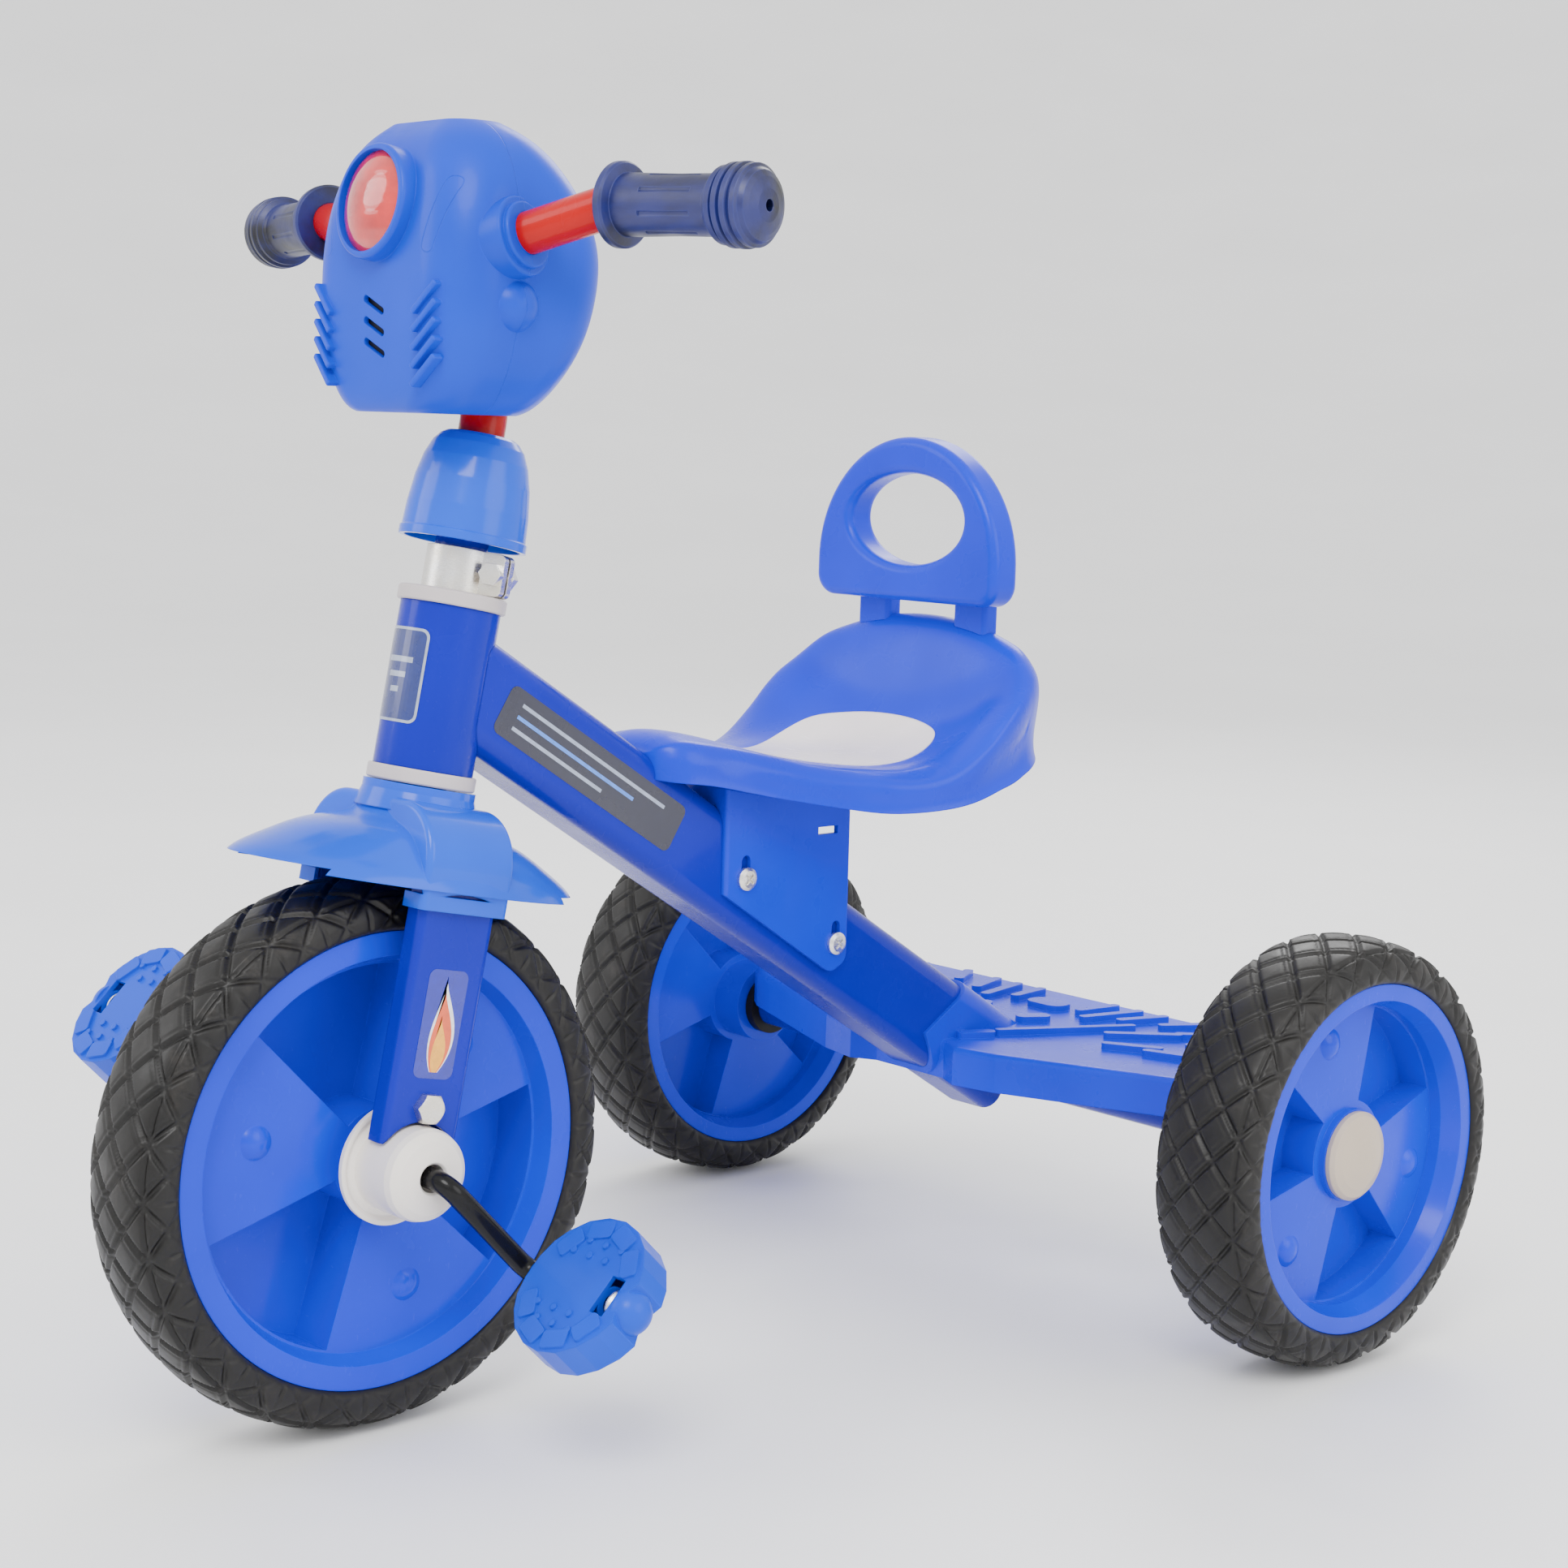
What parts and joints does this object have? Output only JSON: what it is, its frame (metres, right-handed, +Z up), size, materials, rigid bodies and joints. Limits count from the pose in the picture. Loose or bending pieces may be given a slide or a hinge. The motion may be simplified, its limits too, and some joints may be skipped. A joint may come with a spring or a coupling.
{
  "type": "children's tricycle",
  "caption": "Children's pedal tricycle with steered front wheel, direct pedal crank, saddle with backrest, and rear step board.",
  "frame": {"origin": "on the floor, on the mid-plane, halfway along the overall length", "axes": "forward is -Y, the rider's left is +X, +Z is up"},
  "size_m": [0.5232, 0.68, 0.602],
  "materials": {
    "frame_paint": "gloss",
    "zinc": "satin",
    "black_plastic": "satin",
    "pale_plastic": "satin",
    "grey_plastic": "satin",
    "white_plastic": "gloss",
    "sticker": "gloss",
    "red_paint": "gloss",
    "red_lens": "gloss",
    "grip_vinyl": "satin",
    "tyre_foam": "matte",
    "black_steel": "gloss",
    "light_blue_plastic": "gloss",
    "blue_plastic": "gloss"
  },
  "bodies": {
    "frame": {"head_tube": "frame_paint", "main_tube": "frame_paint", "rear_axle_tube": "frame_paint", "rear_axle_rod": "zinc", "axle_bush_left": "black_plastic", "axle_bush_right": "black_plastic", "axle_push_nuts": "zinc", "headset_collar_lower": "pale_plastic", "headset_collar_upper": "pale_plastic", "seat_shell": "blue_plastic", "seat_inlay": "white_plastic", "seat_pedestal": "blue_plastic", "seat_screws": "zinc", "seat_nuts": "zinc", "backrest": "blue_plastic", "step_board": "blue_plastic", "head_tube_sticker": "sticker", "main_tube_sticker": "sticker"},
    "steering": {"fork": "frame_paint", "mudguard": "light_blue_plastic", "stem_clamp": "zinc", "stem_clamp_bolt": "zinc", "stem_clamp_nut": "zinc", "stem_cover": "light_blue_plastic", "handlebar": "red_paint", "grip_left": "grip_vinyl", "grip_right": "grip_vinyl", "head_shell_front": "light_blue_plastic", "head_shell_rear": "light_blue_plastic", "lens_round": "red_lens", "lens_marker_left": "red_lens", "lens_marker_right": "red_lens", "speaker": "black_plastic", "hub_housing_left": "grey_plastic", "hub_housing_right": "grey_plastic", "fork_bolts": "zinc", "fork_nuts": "zinc", "fork_sticker": "sticker"},
    "front_wheel": {"front_tyre": "tyre_foam", "front_rim": "blue_plastic", "crank_axle": "black_steel", "pedal_push_nut_left": "zinc", "pedal_push_nut_right": "zinc"},
    "pedal_left": {"pedal_left": "light_blue_plastic"},
    "pedal_right": {"pedal_right": "light_blue_plastic"},
    "rear_wheel_left": {"rear_tyre_left": "tyre_foam", "rear_rim_left": "blue_plastic", "hub_cap_left": "pale_plastic"},
    "rear_wheel_right": {"rear_tyre_right": "tyre_foam", "rear_rim_right": "blue_plastic", "hub_cap_right": "pale_plastic"}
  },
  "joints": [
    {"name": "steering_turn", "type": "hinge", "parent": "frame", "child": "steering", "pos_m": [0, -0.21, 0.13], "axis": [0, 0.1908, 0.9816], "range_deg": [-40, 40]},
    {"name": "front_wheel_spin", "type": "hinge", "parent": "steering", "child": "front_wheel", "pos_m": [0, -0.21, 0.13], "axis": [1, 0, 0], "continuous": true},
    {"name": "pedal_left_spin", "type": "hinge", "parent": "front_wheel", "child": "pedal_left", "pos_m": [0.12, -0.16768, 0.08333], "axis": [1, 0, 0], "continuous": true},
    {"name": "pedal_right_spin", "type": "hinge", "parent": "front_wheel", "child": "pedal_right", "pos_m": [-0.12, -0.25232, 0.17667], "axis": [1, 0, 0], "continuous": true},
    {"name": "rear_wheel_left_spin", "type": "hinge", "parent": "frame", "child": "rear_wheel_left", "pos_m": [0.2316, 0.228, 0.112], "axis": [1, 0, 0], "continuous": true},
    {"name": "rear_wheel_right_spin", "type": "hinge", "parent": "frame", "child": "rear_wheel_right", "pos_m": [-0.2316, 0.228, 0.112], "axis": [1, 0, 0], "continuous": true}
  ]
}
